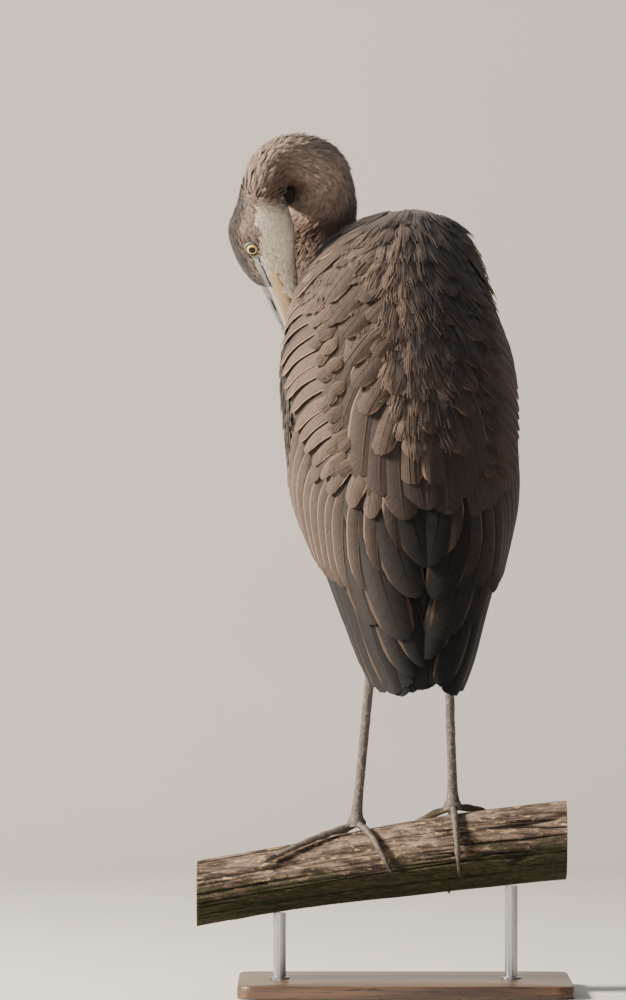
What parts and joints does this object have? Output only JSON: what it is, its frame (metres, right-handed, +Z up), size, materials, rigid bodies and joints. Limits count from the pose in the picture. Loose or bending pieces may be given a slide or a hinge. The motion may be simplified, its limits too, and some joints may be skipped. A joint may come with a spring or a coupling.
{
  "type": "great blue heron preening on a perch, life-size museum model",
  "caption": "Young heron seen standing on a cut branch, neck arched over its shoulder to preen the wing bend, held by a flat display stand",
  "frame": {"origin": "middle of the stand's flat underside", "axes": "+Z up, the bird looks along +Y, and its left is -X"},
  "size_m": [0.405, 0.3225, 0.9272],
  "materials": {
    "plumage_back": "grey-brown contour feathers",
    "plumage_wing": "grey-brown coverts with buff fringes",
    "plumage_flight": "slate-black flight feathers",
    "plumage_neck": "fine rufous-grey feathers",
    "plumage_head": "fine grey-brown and cream feathers",
    "horn": "satin horn, grey above and yellowish below",
    "eye": "glossy, pale yellow iris",
    "leg_skin": "fine grey scales",
    "claw": "dark horn",
    "bark": "weathered bare wood",
    "stand_board": "dark satin paint",
    "stand_steel": "brushed"
  },
  "bodies": {
    "root": {"trunk": "plumage_back", "wing_left": "plumage_wing", "wing_right": "plumage_wing", "tail": "plumage_flight", "neck_base": "plumage_neck", "neck_lower": "plumage_neck", "neck_middle": "plumage_neck", "neck_arch": "plumage_neck", "neck_upper": "plumage_neck", "head": "plumage_head", "bill_upper": "horn", "bill_lower": "horn", "eye_left": "eye", "eye_right": "eye", "thigh_left": "plumage_neck", "thigh_right": "plumage_neck", "shank_left": "leg_skin", "shank_right": "leg_skin", "tarsus_left": "leg_skin", "tarsus_right": "leg_skin", "toe_left_1": "leg_skin", "toe_left_2": "leg_skin", "toe_left_3": "leg_skin", "toe_left_4": "leg_skin", "toe_right_1": "leg_skin", "toe_right_2": "leg_skin", "toe_right_3": "leg_skin", "toe_right_4": "leg_skin", "claw_left_1": "claw", "claw_left_2": "claw", "claw_left_3": "claw", "claw_left_4": "claw", "claw_right_1": "claw", "claw_right_2": "claw", "claw_right_3": "claw", "claw_right_4": "claw", "perch": "bark", "stand_base": "stand_board", "stand_rod_left": "stand_steel", "stand_rod_right": "stand_steel"}
  },
  "joints": []
}
